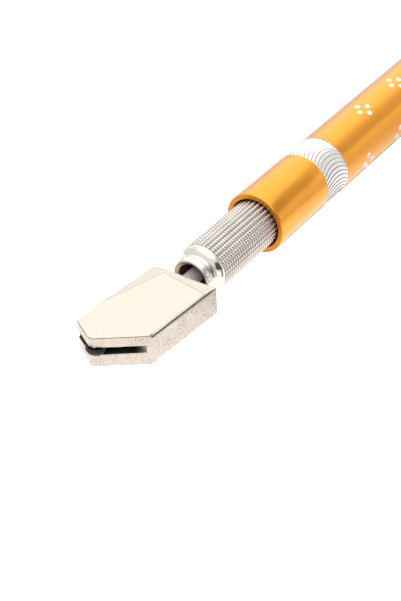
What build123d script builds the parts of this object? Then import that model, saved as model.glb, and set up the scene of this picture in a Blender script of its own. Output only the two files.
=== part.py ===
"""Oil-feed glass cutter: a pencil-grip handle that holds the oil, and a swivelling wheel head.

The tool lies along X with its cutting wheel at the -X end and its filler cap at the +X end.
+Z is up, the head's broad faces are horizontal and z = 0 is the underside of the handle.
Lengths along the tool are stations: their distance behind the handle's front rim, so the
head's stations are negative and the handle's are positive.
"""
from math import asin, cos, degrees, radians, sin
import os

from build123d import *

# Overall arrangement
overall_length = 176.0
wheel_tip_station = -49.1
cap_end_station = wheel_tip_station + overall_length

# Handle tube, with diamond-cut bands and groups of round dimples turned through its skin
handle_radius = 6.5
bore_radius = 5.34
handle_length = 116.0
rim_round = 0.25
bore_bevel = 0.15
front_band = (17.3, 24.6)
rear_band = (104.0, 111.3)
band_depth = 0.35
band_crown = 0.1
band_end_drop = 0.15
dimple_radius = 0.6
dimple_depth = 0.15
dimple_spread = 1.5
dimple_spread_angle = 13.0
dimple_pitch = 13.3
first_dimples = 33.0
dimple_row_angle = 11.0

# Knurled collar that carries the head
knurl_radius = 5.1
knurl_ribs = 30
knurl_depth = 0.32
knurl_span = (-17.2, 1.5)
groove_overcut = 0.1
collar_front = -21.55
mouth_radius = 3.6
collar_shoulder = 2.7
collar_flange_radius = 4.95
collar_end = 9.5
collar_thread_radius = 4.5
guide_bore_radius = 2.6
chamber_radius = 3.2
chamber_start = -8.0
web = (-16.2, -15.5)
web_hole_radius = 1.7

# Head casting, seen from above as (station, distance to the left of the tool axis). Its sides run
# about four degrees off the tool's axis.
head_back = -24.6
head_back_right = (head_back, -8.1)
head_back_left = (head_back, 6.15)
head_thickness = 6.2
head_right_corner = (-42.3, -6.76)
head_nose_right = (-48.4, 1.8)
head_nose_left = (-48.45, 2.8)
head_left_corner = (-45.65, 7.5)
flat_corner = (-25.8, 2.8)
flat_right_end = (-27.5, -8.0)
flat_left_end = (-39.2, 7.1)
top_jaw = 2.1
slot_height = 1.55
saw_centre = (-62.6, -2.5)
saw_radius = 20.0
edge_chamfer = 0.45
right_draft_drop = 0.25
left_draft_drop = 0.55
oil_passage_length = 11.0

# Cutting wheel and its axle
wheel_radius = 2.05
wheel_width = 1.1
wheel_edge_depth = 0.2
wheel_offset = 2.25
axle_radius = 0.5
axle_reach = 2.1
recess = 0.1
running_clearance = 0.05

# Stem, its guide and its stops
stem_radius = 1.5
stem_front = -32.3
stem_end = -4.0
oil_bore_radius = 0.6
oil_port_station = -5.1
oil_port_radius = 0.35
wick_radius = 0.5
wick_span = (-43.4, -12.2)
screw_station = -28.0
screw_radius = 1.0
dog_radius = 0.6
dog_reach = 1.05
swivel_limit = 12.0
ring_groove = (-6.95, -6.45)
ring_groove_radius = 1.1
stem_bevel = 0.2
bush_step = 1.0
seal_pocket_radius = 2.4
pocket_clearance = 0.1

# Valve
seat = (-2.5, -1.0)
valve_nose_radius = 0.9
valve_flange = (-0.4, 1.2)
valve_flange_radius = 2.3
spring_mean_radius = 1.6
spring_wire_radius = 0.24
retainer = (6.2, 8.4)

# Threaded inserts, filler cap and sealing rings
front_insert_span = (3.5, 11.0)
rear_insert_span = (106.5, 115.2)
cap_plug_radius = 4.0
cap_plug_start = 109.2
cap_face = 116.08
cap_dome_start = 123.4
dome_rise = 1.0
cap_sides = 8
cap_corner_round = 0.4
cap_radius = 7.1
ring_section = 0.38
ring_gap = 0.42

origin_x = -overall_length / 2 - wheel_tip_station
axis_height = handle_radius
tool_axis = Axis((0, 0, axis_height), (1, 0, 0))
profile_plane = Plane(origin=(origin_x, 0, axis_height), x_dir=(1, 0, 0), z_dir=(0, -1, 0))
head_bottom = axis_height - head_thickness / 2
head_top = axis_height + head_thickness / 2
slot_bottom = head_top - top_jaw - slot_height
wheel_station = wheel_tip_station + wheel_radius
wheel_centre = (origin_x + wheel_station, wheel_offset)


def outline(*points):
    """A closed outline of (station, radius) points, in the plane through the tool axis."""
    with BuildSketch(profile_plane) as face:
        with BuildLine():
            Polyline(*points, close=True)
        make_face()
    return face.sketch


def ring_outline(start, end, inner, outer):
    """The section of a plain turned ring."""
    return outline((start, inner), (end, inner), (end, outer), (start, outer))


def seal_outline(station, seat_radius):
    """The round section of a rubber sealing ring that fits round a seat."""
    with BuildSketch(profile_plane) as face:
        with Locations((station, seat_radius + running_clearance + ring_section)):
            Circle(ring_section)
    return face.sketch


def band_outline(start, end):
    """The metal that a diamond-cut band takes off: a step down, then a low crown."""
    floor = handle_radius - band_depth
    crown = handle_radius - band_crown
    rear_edge = handle_radius - band_end_drop
    clear_radius = handle_radius + 1
    with BuildSketch(profile_plane) as face:
        with BuildLine():
            Line((start, clear_radius), (start, floor + rim_round))
            RadiusArc((start, floor + rim_round), (start + rim_round, floor), rim_round)
            ThreePointArc((start + rim_round, floor), ((start + end) / 2, crown), (end, rear_edge))
            Polyline((end, rear_edge), (end, clear_radius), (start, clear_radius))
        make_face()
    return face.sketch


def on_handle(station, angle, radius):
    """A point at an angle round the handle, counted from the left side over the top."""
    return Location(
        (
            origin_x + station,
            radius * cos(radians(angle)),
            axis_height + radius * sin(radians(angle)),
        )
    )


def dimple_places():
    """Centres of the balls that cut the dimples: rhombic groups of four, in four rows."""
    ball = (dimple_radius**2 + dimple_depth**2) / (2 * dimple_depth)
    reach = handle_radius - dimple_depth + ball
    places = []
    for row in range(4):
        angle = dimple_row_angle + 90 * row
        station = first_dimples + dimple_pitch / 2 * (row % 2)
        while station < rear_band[0] - dimple_spread - 1:
            places += [
                on_handle(station - dimple_spread, angle, reach),
                on_handle(station + dimple_spread, angle, reach),
                on_handle(station, angle - dimple_spread_angle, reach),
                on_handle(station, angle + dimple_spread_angle, reach),
            ]
            station += dimple_pitch
    return ball, places


def plane_through(a, b, c):
    """The plane through three points, facing up."""
    normal = (Vector(b) - Vector(a)).cross(Vector(c) - Vector(a))
    return Plane(origin=a, z_dir=normal if normal.Z > 0 else -normal)


def cross_plane(station):
    """The plane square to the tool axis at a station, facing the cap."""
    return Plane(origin=(origin_x + station, 0, axis_height), x_dir=(0, 1, 0), z_dir=(1, 0, 0))


# Handle tube, open at both ends: its hollow is the oil reservoir
with BuildPart() as handle_tube:
    revolve(
        outline(
            (0, bore_radius + bore_bevel),
            (0, handle_radius - rim_round),
            (rim_round, handle_radius),
            (handle_length - rim_round, handle_radius),
            (handle_length, handle_radius - rim_round),
            (handle_length, bore_radius + bore_bevel),
            (handle_length - bore_bevel, bore_radius),
            (bore_bevel, bore_radius),
        ),
        axis=tool_axis,
    )
    for span in (front_band, rear_band):
        revolve(band_outline(*span), axis=tool_axis, mode=Mode.SUBTRACT)
    ball_radius, ball_places = dimple_places()
    with Locations(*ball_places):
        Sphere(ball_radius, mode=Mode.SUBTRACT)

# Internally threaded brass inserts, pressed into each end of the tube
with BuildPart() as front_insert:
    revolve(
        ring_outline(*front_insert_span, collar_thread_radius + running_clearance, bore_radius),
        axis=tool_axis,
    )

with BuildPart() as rear_insert:
    revolve(
        ring_outline(*rear_insert_span, cap_plug_radius + running_clearance, bore_radius),
        axis=tool_axis,
    )

# Collar: lip, waist, shoulder and knurl outside, then the thread that screws into the handle
with BuildPart() as knurled_collar:
    with BuildSketch(profile_plane):
        with BuildLine():
            Polyline(
                (collar_front, mouth_radius),
                (collar_front, 3.85),
                (collar_front + 0.15, 4.0),
                (-20.45, 4.1),
                (-20.3, 3.95),
            )
            ThreePointArc((-20.3, 3.95), (-19.75, 3.72), (-19.1, 4.0))
            ThreePointArc((-19.1, 4.0), (-18.45, 4.72), (-17.4, 5.0))
            Polyline(
                (-17.4, 5.0),
                (knurl_span[0], knurl_radius),
                (knurl_span[1], knurl_radius),
                (knurl_span[1], collar_flange_radius),
                (collar_shoulder, collar_flange_radius),
                (collar_shoulder, collar_thread_radius),
                (collar_end, collar_thread_radius),
                (collar_end, chamber_radius),
                (chamber_start, chamber_radius),
                (chamber_start, guide_bore_radius),
                (web[1], guide_bore_radius),
                (web[1], web_hole_radius),
                (web[0], web_hole_radius),
                (web[0], guide_bore_radius),
                (-20.4, guide_bore_radius),
                (collar_front, mouth_radius),
            )
        make_face()
    revolve(axis=tool_axis)
    with BuildSketch(cross_plane(knurl_span[0])):
        with PolarLocations(knurl_radius, knurl_ribs):
            with Locations((groove_overcut, 0)):
                RegularPolygon(knurl_depth + groove_overcut, 3, rotation=180)
    extrude(amount=knurl_span[1] - knurl_span[0], mode=Mode.SUBTRACT)

with BuildPart() as collar_o_ring:
    revolve(seal_outline(collar_shoulder + ring_gap, collar_thread_radius), axis=tool_axis)

# Bronze bush that guides the stem, flanged against the step in the collar's bore
with BuildPart() as stem_guide_bush:
    revolve(
        outline(
            (web[1], seal_pocket_radius),
            (web[1] + bush_step, seal_pocket_radius),
            (web[1] + bush_step, stem_radius + running_clearance),
            (chamber_start + bush_step, stem_radius + running_clearance),
            (chamber_start + bush_step, chamber_radius),
            (chamber_start, chamber_radius),
            (chamber_start, guide_bore_radius),
            (web[1], guide_bore_radius),
        ),
        axis=tool_axis,
    )

with BuildPart() as stem_seal:
    revolve(seal_outline(web[1] + 0.5, stem_radius), axis=tool_axis)

# Hollow steel stem: a pocket for the head's screw in front, a ring groove and an oil port behind
with BuildPart() as head_stem:
    revolve(
        outline(
            (stem_front, oil_bore_radius),
            (stem_front, stem_radius - stem_bevel),
            (stem_front + stem_bevel, stem_radius),
            (ring_groove[0], stem_radius),
            (ring_groove[0], ring_groove_radius),
            (ring_groove[1], ring_groove_radius),
            (ring_groove[1], stem_radius),
            (stem_end - stem_bevel, stem_radius),
            (stem_end, stem_radius - stem_bevel),
            (stem_end, oil_bore_radius),
        ),
        axis=tool_axis,
    )
    pocket_floor = dog_reach - pocket_clearance
    pocket_rim = stem_radius + 0.5
    pocket_angle = degrees(asin(dog_radius / dog_reach)) + swivel_limit + 0.6
    with BuildSketch(cross_plane(screw_station - dog_radius - pocket_clearance)):
        with BuildLine():
            start = Vector(0, -pocket_rim).rotate(Axis.Z, -pocket_angle)
            end = Vector(0, -pocket_rim).rotate(Axis.Z, pocket_angle)
            inner_start = start * (pocket_floor / pocket_rim)
            inner_end = end * (pocket_floor / pocket_rim)
            Line(inner_start, start)
            ThreePointArc(start, (0, -pocket_rim), end)
            Line(end, inner_end)
            ThreePointArc(inner_end, (0, -pocket_floor), inner_start)
        make_face()
    extrude(amount=2 * (dog_radius + pocket_clearance), mode=Mode.SUBTRACT)
    with Locations((origin_x + oil_port_station, 0, axis_height)):
        Cylinder(oil_port_radius, 3 * stem_radius, mode=Mode.SUBTRACT)

# Snap ring behind the bush: it keeps the stem in the collar
with BuildPart() as stem_retaining_ring:
    play = 0.02
    with BuildSketch(cross_plane(ring_groove[0] + play)):
        Circle(2.4)
        Circle(ring_groove_radius + play, mode=Mode.SUBTRACT)
        with Locations((0, -1.8)):
            Rectangle(1.3, 2.6, mode=Mode.SUBTRACT)
    extrude(amount=ring_groove[1] - ring_groove[0] - 2 * play)

# Valve: a seat in the collar, and a plunger that the stem pushes off it
with BuildPart() as valve_seat:
    revolve(
        outline(
            (seat[0], 1.3),
            (seat[1], 1.3),
            (seat[1], 2.2),
            (seat[1] - 0.3, 2.4),
            (seat[1] - 0.3, chamber_radius),
            (seat[0], chamber_radius),
        ),
        axis=tool_axis,
    )

with BuildPart() as valve_plunger:
    revolve(
        outline(
            (stem_end, 0),
            (stem_end, valve_nose_radius),
            (valve_flange[0], valve_nose_radius),
            (valve_flange[0], valve_flange_radius),
            (valve_flange[1], valve_flange_radius),
            (valve_flange[1], 1.2),
            (4.6, 1.2),
            (5.0, 0.8),
            (5.0, 0),
        ),
        axis=tool_axis,
    )

with BuildPart() as valve_seal:
    revolve(ring_outline(seat[1], valve_flange[0], valve_nose_radius, 2.15), axis=tool_axis)

# Return spring between the plunger's flange and the screwed retainer
with BuildPart() as return_spring:
    spring_start = origin_x + valve_flange[1] + spring_wire_radius
    spring_length = retainer[0] - valve_flange[1] - 2 * spring_wire_radius
    with BuildLine() as coil:
        Helix(
            pitch=spring_length / 4,
            height=spring_length,
            radius=spring_mean_radius,
            center=(spring_start, 0, axis_height),
            direction=(1, 0, 0),
        )
    with BuildSketch(Plane(origin=coil.line @ 0, z_dir=coil.line % 0)):
        Circle(spring_wire_radius)
    sweep(is_frenet=True)

with BuildPart() as spring_retainer:
    revolve(ring_outline(*retainer, 1.3, chamber_radius), axis=tool_axis)
    with Locations((origin_x + retainer[1], 0, axis_height)):
        Box(1.4, 2 * chamber_radius + 1, 0.8, mode=Mode.SUBTRACT)

# Head casting: asymmetric nose, saw-cut wheel slot, bores for the stem, wick, axle and screw
with BuildPart() as head_block:
    corners = [
        head_back_right,
        head_right_corner,
        head_nose_right,
        head_nose_left,
        head_left_corner,
        head_back_left,
    ]
    with BuildSketch(Plane.XY.offset(head_bottom)):
        with BuildLine():
            Polyline(*[(origin_x + s, y) for s, y in corners], close=True)
        make_face()
    extrude(amount=head_thickness)
    right_side = head_block.faces().sort_by(Axis.Y)[0]
    chamfer(right_side.edges().filter_by(Axis.Z, reverse=True), edge_chamfer)
    # the cast skin falls away behind and beside the ground flat, on both broad faces
    for flat_end, back_corner, drop in (
        (flat_right_end, head_back_right, right_draft_drop),
        (flat_left_end, head_back_left, left_draft_drop),
    ):
        for level, inward, kept in ((head_top, -drop, Keep.BOTTOM), (head_bottom, drop, Keep.TOP)):
            skin = plane_through(
                (origin_x + flat_corner[0], flat_corner[1], level),
                (origin_x + flat_end[0], flat_end[1], level),
                (origin_x + back_corner[0], back_corner[1], level + inward),
            )
            split(bisect_by=skin, keep=kept)
    # wheel slot, left by a round saw
    with BuildSketch(Plane.XY.offset(slot_bottom)):
        with Locations((origin_x + saw_centre[0], saw_centre[1])):
            Circle(saw_radius)
    extrude(amount=slot_height, mode=Mode.SUBTRACT)
    # stem bore, then the oil passage into the slot
    with BuildSketch(cross_plane(head_back)):
        Circle(stem_radius + running_clearance)
    extrude(amount=stem_front - stem_bevel - head_back, mode=Mode.SUBTRACT)
    with BuildSketch(cross_plane(stem_front)):
        Circle(oil_bore_radius)
    extrude(amount=-oil_passage_length, mode=Mode.SUBTRACT)
    # axle bore from below, blind in the upper jaw
    with BuildSketch(Plane.XY.offset(head_bottom)):
        with Locations(wheel_centre):
            Circle(axle_radius)
        with Locations((origin_x + screw_station, 0)):
            Circle(screw_radius)
    extrude(amount=axis_height - head_bottom, mode=Mode.SUBTRACT)
    with BuildSketch(Plane.XY.offset(axis_height)):
        with Locations(wheel_centre):
            Circle(axle_radius)
    extrude(amount=axle_reach + 0.1, mode=Mode.SUBTRACT)

with BuildPart() as wheel_axle:
    with BuildSketch(Plane.XY.offset(head_bottom + recess)):
        with Locations(wheel_centre):
            Circle(axle_radius)
    extrude(amount=axis_height + axle_reach - head_bottom - recess)
    chamfer(wheel_axle.edges().filter_by(GeomType.CIRCLE), 0.08)

with BuildPart() as cutting_wheel:
    wheel_middle = (*wheel_centre, slot_bottom + slot_height / 2)
    wheel_plane = Plane(origin=wheel_middle, x_dir=(1, 0, 0), z_dir=(0, -1, 0))
    with BuildSketch(wheel_plane):
        with BuildLine():
            Polyline(
                (axle_radius + running_clearance, -wheel_width / 2),
                (wheel_radius - wheel_edge_depth, -wheel_width / 2),
                (wheel_radius, 0),
                (wheel_radius - wheel_edge_depth, wheel_width / 2),
                (axle_radius + running_clearance, wheel_width / 2),
                close=True,
            )
        make_face()
    revolve(axis=Axis((*wheel_centre, 0), (0, 0, 1)))

# Slotted screw from below: its dog point rides in the stem's pocket and stops the swivel
with BuildPart() as head_screw:
    stem_underside = axis_height - stem_radius
    shank_top = stem_underside - 0.1
    screw_place = (origin_x + screw_station, 0)
    with BuildSketch(Plane.XY.offset(head_bottom + recess)):
        with Locations(screw_place):
            Circle(screw_radius)
    extrude(amount=shank_top - head_bottom - recess)
    with BuildSketch(Plane.XY.offset(shank_top)):
        with Locations(screw_place):
            Circle(dog_radius)
    extrude(amount=axis_height - dog_reach - shank_top)
    with Locations((*screw_place, head_bottom + recess)):
        Box(2.4, 0.35, 0.9, mode=Mode.SUBTRACT)

# Cotton wick that carries oil through the stem to the wheel
with BuildPart() as oil_wick:
    with BuildSketch(cross_plane(wick_span[0])):
        Circle(wick_radius)
    extrude(amount=wick_span[1] - wick_span[0])

# Filler cap: an eight-sided domed head that stops the tool rolling, and a screwed plug
with BuildPart() as oil_cap:
    with BuildSketch(profile_plane):
        with BuildLine():
            Polyline(
                (cap_plug_start, 0),
                (cap_plug_start, cap_plug_radius - 0.4),
                (cap_plug_start + 0.4, cap_plug_radius),
                (cap_face, cap_plug_radius),
                (cap_face, handle_radius - rim_round),
                (cap_face + 1.2, cap_radius),
                (cap_dome_start, cap_radius),
            )
            dome_edge = handle_radius - 1.7
            dome_radius = (dome_rise**2 + dome_edge**2) / (2 * dome_rise)
            dome_angle = degrees(asin(dome_edge / dome_radius))
            dome = CenterArc((cap_end_station - dome_radius, 0), dome_radius, 0, dome_angle)
            TangentArc((cap_dome_start, cap_radius), dome @ 1, tangent=(1, 0))
            Line(dome @ 0, (cap_plug_start, 0))
        make_face()
    revolve(axis=tool_axis)
    with BuildSketch(cross_plane(cap_plug_start)) as grip:
        RegularPolygon(handle_radius, cap_sides, major_radius=False, rotation=180 / cap_sides)
        fillet(grip.vertices(), cap_corner_round)
    extrude(amount=cap_end_station - cap_plug_start, mode=Mode.INTERSECT)

with BuildPart() as cap_o_ring:
    revolve(seal_outline(rear_insert_span[1] + ring_gap, cap_plug_radius), axis=tool_axis)

pieces = {
    "handle_tube": handle_tube,
    "front_insert": front_insert,
    "rear_insert": rear_insert,
    "knurled_collar": knurled_collar,
    "collar_o_ring": collar_o_ring,
    "stem_guide_bush": stem_guide_bush,
    "stem_seal": stem_seal,
    "head_stem": head_stem,
    "stem_retaining_ring": stem_retaining_ring,
    "valve_seat": valve_seat,
    "valve_plunger": valve_plunger,
    "valve_seal": valve_seal,
    "return_spring": return_spring,
    "spring_retainer": spring_retainer,
    "head_block": head_block,
    "head_screw": head_screw,
    "wheel_axle": wheel_axle,
    "cutting_wheel": cutting_wheel,
    "oil_wick": oil_wick,
    "oil_cap": oil_cap,
    "cap_o_ring": cap_o_ring,
}

os.makedirs("parts", exist_ok=True)
for name, piece in pieces.items():
    piece.part.label = name
    export_step(piece.part, f"parts/{name}.step")
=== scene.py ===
"""Looks of the oil-feed glass cutter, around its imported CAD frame.

Lengths are millimetres until a point is placed, which turns them into metres. A station is a
distance behind the handle's front rim, and an angle round the tool counts from its left side
(+Y) over the top (+Z), as in the CAD model.
"""
import math

import bmesh
import bpy
from mathutils import Matrix, Vector, noise


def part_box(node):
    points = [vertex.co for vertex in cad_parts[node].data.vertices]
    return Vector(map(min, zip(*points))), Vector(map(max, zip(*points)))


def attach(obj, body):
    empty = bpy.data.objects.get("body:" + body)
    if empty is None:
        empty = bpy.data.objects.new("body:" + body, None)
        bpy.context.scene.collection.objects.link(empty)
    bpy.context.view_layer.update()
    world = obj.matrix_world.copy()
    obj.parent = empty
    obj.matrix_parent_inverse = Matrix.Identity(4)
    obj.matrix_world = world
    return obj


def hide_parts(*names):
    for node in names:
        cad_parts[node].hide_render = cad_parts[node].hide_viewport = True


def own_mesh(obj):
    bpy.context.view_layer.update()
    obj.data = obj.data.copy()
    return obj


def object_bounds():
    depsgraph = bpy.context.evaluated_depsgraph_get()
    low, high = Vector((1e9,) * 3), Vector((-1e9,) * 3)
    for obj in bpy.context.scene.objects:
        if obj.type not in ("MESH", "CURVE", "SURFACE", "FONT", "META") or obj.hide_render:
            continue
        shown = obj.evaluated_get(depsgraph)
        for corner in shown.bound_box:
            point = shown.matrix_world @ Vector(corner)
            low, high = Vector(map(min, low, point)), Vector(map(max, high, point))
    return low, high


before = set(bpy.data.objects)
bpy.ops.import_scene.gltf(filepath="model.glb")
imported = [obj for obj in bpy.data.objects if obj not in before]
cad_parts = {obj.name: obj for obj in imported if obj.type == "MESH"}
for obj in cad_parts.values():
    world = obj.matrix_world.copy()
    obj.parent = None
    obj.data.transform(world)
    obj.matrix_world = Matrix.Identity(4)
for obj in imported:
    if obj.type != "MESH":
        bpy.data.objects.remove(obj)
cad_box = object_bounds()

MM = 0.001
TURN = 360.0


def station_box(node):
    """A CAD node's first station, last station and half height, in mm."""
    low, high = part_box(node)
    return (low.x - RIM_X) / MM, (high.x - RIM_X) / MM, (high.z - low.z) / 2 / MM


tube_low, tube_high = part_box("handle_tube")
RIM_X = tube_low.x
AXIS_Z = (tube_low.z + tube_high.z) / 2
HANDLE_RADIUS = (tube_high.z - tube_low.z) / 2 / MM
HANDLE_END = (tube_high.x - RIM_X) / MM
BORE_RADIUS = station_box("front_insert")[2]
FRONT_BAND = (17.3, 24.6)
REAR_BAND = (HANDLE_END - 12.0, HANDLE_END - 4.7)


# ---------------------------------------------------------------- mesh building


def place(station, radius, angle):
    """A point in the row frame, in metres."""
    turn = math.radians(angle)
    return Vector(
        (
            RIM_X + station * MM,
            radius * MM * math.cos(turn),
            AXIS_Z + radius * MM * math.sin(turn),
        )
    )


SHARP_ANGLE = 32.0


class Shell:
    """One piece's surface, built from rings of points round the tool axis."""

    def __init__(self):
        self.mesh = bmesh.new()

    def ring(self, points):
        """Points are (station, radius, angle)."""
        return [self.mesh.verts.new(place(*point)) for point in points]

    def circle(self, station, radius, angles):
        return self.ring([(station, radius, angle) for angle in angles])

    def face(self, corners, slot=0):
        self.mesh.faces.new(corners).material_index = slot

    def bridge(self, first, second, slot=0):
        """Quads between two rings of the same count, in one slot or a list of slots."""
        count = len(first)
        slots = slot if isinstance(slot, list) else [slot] * count
        for i in range(count):
            j = (i + 1) % count
            self.face((first[i], first[j], second[j], second[i]), slots[i])

    def skin(self, rings, slot=0):
        """Quads from each ring to the next."""
        for first, second in zip(rings, rings[1:]):
            self.bridge(first, second, slot)

    def stitch(self, first, second, slot=0):
        """Triangles between two rings whose counts or phases differ."""
        ahead = [unwound(ring, first[0]) for ring in (first, second)]
        rings = [[vert for _, vert in ring] for ring in ahead]
        angles = [[angle for angle, _ in ring] + [ring[0][0] + TURN] for ring in ahead]
        at = [0, 0]
        while at[0] < len(rings[0]) or at[1] < len(rings[1]):
            step = 0
            if at[0] == len(rings[0]):
                step = 1
            elif at[1] < len(rings[1]) and angles[1][at[1] + 1] < angles[0][at[0] + 1]:
                step = 1
            here = [rings[k][at[k] % len(rings[k])] for k in (0, 1)]
            next_one = rings[step][(at[step] + 1) % len(rings[step])]
            self.face((here[0], here[1], next_one), slot)
            at[step] += 1

    def piece(self, name, body, materials, nodes):
        """Finish the mesh as an object that rides on a body and stands for CAD nodes."""
        bmesh.ops.recalc_face_normals(self.mesh, faces=self.mesh.faces)
        return to_piece(self.mesh, name, body, materials, nodes, SHARP_ANGLE)


def unwound(ring, start):
    """The ring's (angle, vert) pairs in order of angle, from the start point on."""

    def angle(vert):
        return math.degrees(math.atan2(vert.co.z - AXIS_Z, vert.co.y))

    base = angle(start) - 1e-4
    return sorted((((angle(vert) - base) % TURN, vert) for vert in ring), key=lambda pair: pair[0])


def to_piece(mesh, name, body, materials, nodes, sharp):
    for face in mesh.faces:
        face.smooth = True
    for edge in mesh.edges:
        if len(edge.link_faces) == 2 and edge.calc_face_angle() > math.radians(sharp):
            edge.smooth = False
    data = bpy.data.meshes.new(name)
    mesh.to_mesh(data)
    mesh.free()
    for material in materials:
        data.materials.append(material)
    made = bpy.data.objects.new(name, data)
    bpy.context.scene.collection.objects.link(made)
    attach(made, body)
    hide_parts(*nodes)
    return made


def even(count, start=0.0):
    """Angles of a ring of evenly spaced points."""
    return [start + TURN * i / count for i in range(count)]


def blend_between(low, high, share):
    return low + (high - low) * share


def arc(centre, radius, start, end, steps):
    """Points (station, radius) on an arc of the turned outline, angles in degrees."""
    return [
        (
            centre[0] + radius * math.cos(math.radians(blend_between(start, end, i / steps))),
            centre[1] + radius * math.sin(math.radians(blend_between(start, end, i / steps))),
        )
        for i in range(steps + 1)
    ]


# ---------------------------------------------------------------- materials


NICKEL_LIGHT = (0.74, 0.66, 0.57, 1)
NICKEL_WARM = (0.72, 0.63, 0.54, 1)
NICKEL_SIDE = (0.72, 0.64, 0.57, 1)
NICKEL_SHADE = (0.66, 0.57, 0.49, 1)
NICKEL_DARK = (0.50, 0.42, 0.35, 1)
NICKEL_PIT = (0.30, 0.24, 0.19, 1)
# Painted shade: near black for the deep part of the saw slot.
SLOT_SHADE_BLACK = (0.03, 0.026, 0.022, 1)
# Noise scales are features in a metre. A stretch below 1 draws them out along that axis.
FINE_GRAIN = 9000.0
ALONG_TOOL = (0.02, 1.0, 1.0)
ROUND_TOOL = (1.0, 0.02, 0.02)
SCRATCH_DEPTH = 0.00001


class Nodes:
    """A node tree with short calls for the few node types used here."""

    def __init__(self, tree):
        self.tree = tree

    def add(self, kind, inputs=None, **settings):
        node = self.tree.nodes.new(kind)
        for key, value in settings.items():
            setattr(node, key, value)
        for key, value in (inputs or {}).items():
            if isinstance(value, bpy.types.NodeSocket):
                self.tree.links.new(value, node.inputs[key])
            else:
                node.inputs[key].default_value = value
        return node

    def ranged(self, value, low, high, to_low=0.0, to_high=1.0, kind="LINEAR"):
        inputs = {0: value, 1: low, 2: high, 3: to_low, 4: to_high}
        return self.add("ShaderNodeMapRange", inputs, interpolation_type=kind).outputs[0]

    def maths(self, operation, first, second):
        return self.add("ShaderNodeMath", {0: first, 1: second}, operation=operation).outputs[0]

    def product(self, *values):
        result = values[0]
        for value in values[1:]:
            result = self.maths("MULTIPLY", result, value)
        return result

    def mixed(self, share, first, second):
        return self.add("ShaderNodeMix", {0: share, 6: first, 7: second}, data_type="RGBA").outputs[2]


class Finish(Nodes):
    """A material: one Principled shader, with textures laid out in the object's own space."""

    def __init__(self, name):
        self.material = bpy.data.materials.new(name)
        self.material.use_nodes = True
        super().__init__(self.material.node_tree)
        self.shader = self.tree.nodes["Principled BSDF"]
        self.place = self.add("ShaderNodeTexCoord").outputs["Object"]

    def noise(self, scale, detail=3.0, stretch=None):
        """Noise from 0 to 1."""
        where = self.place
        if stretch:
            where = self.add("ShaderNodeMapping", {"Vector": where, "Scale": stretch}).outputs[0]
        inputs = {"Vector": where, "Scale": scale, "Detail": detail}
        return self.add("ShaderNodeTexNoise", inputs).outputs["Fac"]

    def bumped(self, height, strength, distance):
        inputs = {"Height": height, "Strength": strength, "Distance": distance}
        return self.add("ShaderNodeBump", inputs).outputs[0]

    def finish(self, **inputs):
        """Shader inputs by name, with underscores for spaces."""
        for key, value in inputs.items():
            socket = self.shader.inputs[key.replace("_", " ")]
            if isinstance(value, bpy.types.NodeSocket):
                self.tree.links.new(value, socket)
            else:
                socket.default_value = value
        return self.material


def turned_metal(name, colour, worn, roughness, marks=0.15):
    """Metal turned on a lathe: fine rings round the axis, and slow changes of tone."""
    tree = Finish(name)
    rings = tree.noise(FINE_GRAIN, 2.0, ROUND_TOOL)
    tone = tree.noise(260.0, 4.0)
    rough = tree.ranged(tree.maths("ADD", tone, rings), 0.6, 1.4, roughness * 0.8, roughness * 1.3)
    return tree.finish(
        Base_Color=tree.mixed(tree.ranged(tone, 0.35, 0.7), colour, worn),
        Metallic=1.0,
        Roughness=rough,
        Normal=tree.bumped(rings, marks, SCRATCH_DEPTH),
    )


def anodised(name, light, deep, roughness):
    """Dyed anodised aluminium: a clear coat over satin metal with a faint grain along the tube."""
    tree = Finish(name)
    grain = tree.noise(FINE_GRAIN, 3.0, ALONG_TOOL)
    cloud = tree.noise(180.0, 5.0)
    speck = tree.noise(5200.0, 4.0)
    rough = tree.ranged(tree.maths("ADD", cloud, speck), 0.6, 1.4, roughness * 0.8, roughness * 1.25)
    height = tree.maths("ADD", grain, tree.maths("MULTIPLY", speck, 0.4))
    return tree.finish(
        Base_Color=tree.mixed(tree.ranged(cloud, 0.3, 0.7), deep, light),
        Metallic=1.0,
        Roughness=rough,
        Normal=tree.bumped(height, 0.05, SCRATCH_DEPTH),
        Coat_Weight=0.5,
        Coat_Roughness=0.1,
    )


def bright_cut():
    """Aluminium cut with a diamond through the dyed skin."""
    tree = Finish("bright_cut")
    lines = tree.noise(14000.0, 2.0, (0.25, 1.0, 1.0))
    return tree.finish(
        Base_Color=tree.mixed(lines, (0.95, 0.93, 0.91, 1), (0.90, 0.88, 0.86, 1)),
        Metallic=1.0,
        Roughness=tree.ranged(lines, 0.3, 0.7, 0.3, 0.4),
        Normal=tree.bumped(lines, 0.08, SCRATCH_DEPTH),
    )


def ground_nickel():
    """The ground flat of the head, plated, so slightly cloudy."""
    tree = Finish("nickel_ground")
    scratches = tree.noise(5000.0, 3.0, (1.0, 0.06, 1.0))
    cloud = tree.noise(420.0, 6.0)
    fine = tree.noise(3000.0, 4.0)
    tone = tree.maths("ADD", tree.maths("MULTIPLY", fine, 0.4), cloud)
    return tree.finish(
        Base_Color=tree.mixed(tree.ranged(tone, 0.5, 0.95), NICKEL_LIGHT, NICKEL_WARM),
        Metallic=1.0,
        Roughness=tree.ranged(scratches, 0.3, 0.7, 0.3, 0.42),
        Normal=tree.bumped(tree.maths("ADD", scratches, cloud), 0.12, 0.00002),
    )


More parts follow.
